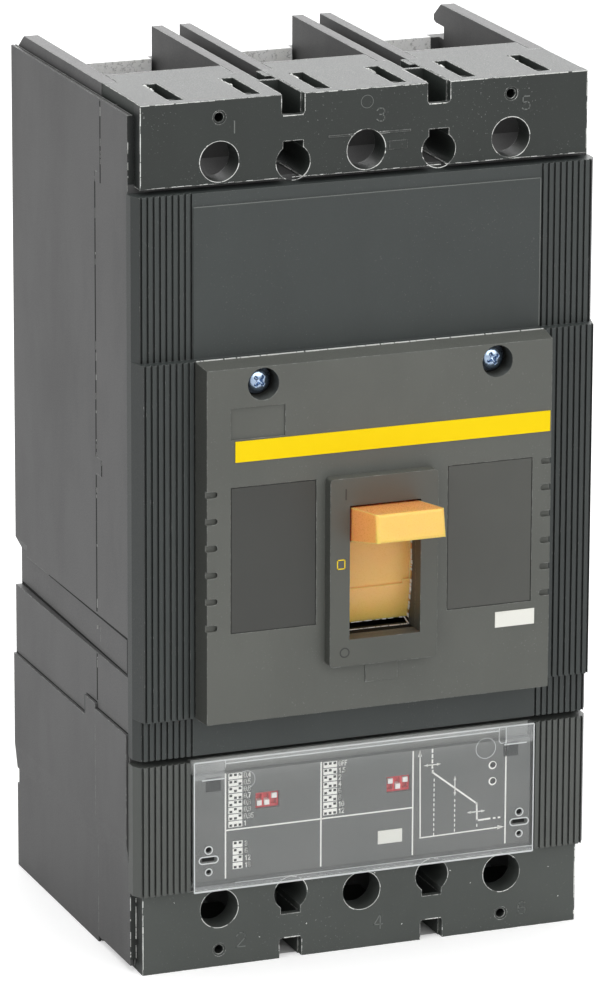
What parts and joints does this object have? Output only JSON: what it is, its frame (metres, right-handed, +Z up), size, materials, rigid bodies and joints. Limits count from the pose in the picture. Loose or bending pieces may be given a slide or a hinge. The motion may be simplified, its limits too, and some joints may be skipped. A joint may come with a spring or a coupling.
{
  "type": "molded case circuit breaker",
  "caption": "Molded case circuit breaker with an orange toggle handle, tinned busbar terminals and an electronic trip unit behind a clear hinged cover",
  "frame": {"origin": "centre of the flat back mounting face", "axes": "+X to the right seen from the front, -Y out of the front, +Z up towards the line terminals"},
  "size_m": [0.14, 0.14, 0.254],
  "materials": {
    "case_plastic": "moulded light grey thermoset",
    "dark_plastic": "moulded dark grey plastic",
    "cover_plastic": "moulded mid grey plastic",
    "handle_orange": "orange moulded plastic",
    "stripe_yellow": "yellow film",
    "label_dark": "dark label film",
    "label_pale": "pale label film",
    "tinned_copper": "tin-plated copper",
    "zinc_steel": "zinc-plated steel",
    "clear_plastic": "clear polycarbonate",
    "switch_red": "red switch body",
    "switch_white": "white slider"
  },
  "bodies": {
    "housing": {"base_housing": "case_plastic", "middle_housing": "case_plastic", "line_terminal_block": "dark_plastic", "load_terminal_block": "cover_plastic", "front_cover": "cover_plastic", "accessory_cover": "cover_plastic", "handle_frame": "cover_plastic", "colour_stripe": "stripe_yellow", "rating_plate_left": "label_dark", "rating_plate_right": "label_dark", "info_sticker": "label_pale", "cover_screw_left": "zinc_steel", "cover_screw_right": "zinc_steel", "handle_pivot_pin": "zinc_steel", "line_terminal_left": "tinned_copper", "line_terminal_centre": "tinned_copper", "line_terminal_right": "tinned_copper", "load_terminal_left": "tinned_copper", "load_terminal_centre": "tinned_copper", "load_terminal_right": "tinned_copper", "trip_unit_housing": "cover_plastic", "trip_panel": "dark_plastic", "value_label": "label_pale", "dip_block_left": "switch_red", "dip_block_right": "switch_red"},
    "handle": {"operating_handle": "handle_orange"},
    "settings_cover": {"clear_cover": "clear_plastic"},
    "setting_switch_left_1": {"dip_slider_left_1": "switch_white"},
    "setting_switch_left_2": {"dip_slider_left_2": "switch_white"},
    "setting_switch_left_3": {"dip_slider_left_3": "switch_white"},
    "setting_switch_right_1": {"dip_slider_right_1": "switch_white"},
    "setting_switch_right_2": {"dip_slider_right_2": "switch_white"},
    "setting_switch_right_3": {"dip_slider_right_3": "switch_white"}
  },
  "joints": [
    {"name": "handle_tilt", "type": "hinge", "parent": "housing", "child": "handle", "pos_m": [0, -0.0475, -0.0082], "axis": [1, 0, 0], "range_deg": [0, 22.2]},
    {"name": "settings_cover_hinge", "type": "hinge", "parent": "housing", "child": "settings_cover", "pos_m": [0, -0.1044, -0.0657], "axis": [-1, 0, 0], "range_deg": [0, 90]},
    {"name": "setting_left_1_slide", "type": "slide", "parent": "housing", "child": "setting_switch_left_1", "axis": [0, 0, 1], "range_m": [0, 0.0018]},
    {"name": "setting_left_2_slide", "type": "slide", "parent": "housing", "child": "setting_switch_left_2", "axis": [0, 0, 1], "range_m": [0, 0.0018]},
    {"name": "setting_left_3_slide", "type": "slide", "parent": "housing", "child": "setting_switch_left_3", "axis": [0, 0, 1], "range_m": [-0.0018, 0]},
    {"name": "setting_right_1_slide", "type": "slide", "parent": "housing", "child": "setting_switch_right_1", "axis": [0, 0, 1], "range_m": [-0.0018, 0]},
    {"name": "setting_right_2_slide", "type": "slide", "parent": "housing", "child": "setting_switch_right_2", "axis": [0, 0, 1], "range_m": [0, 0.0018]},
    {"name": "setting_right_3_slide", "type": "slide", "parent": "housing", "child": "setting_switch_right_3", "axis": [0, 0, 1], "range_m": [-0.0018, 0]}
  ]
}
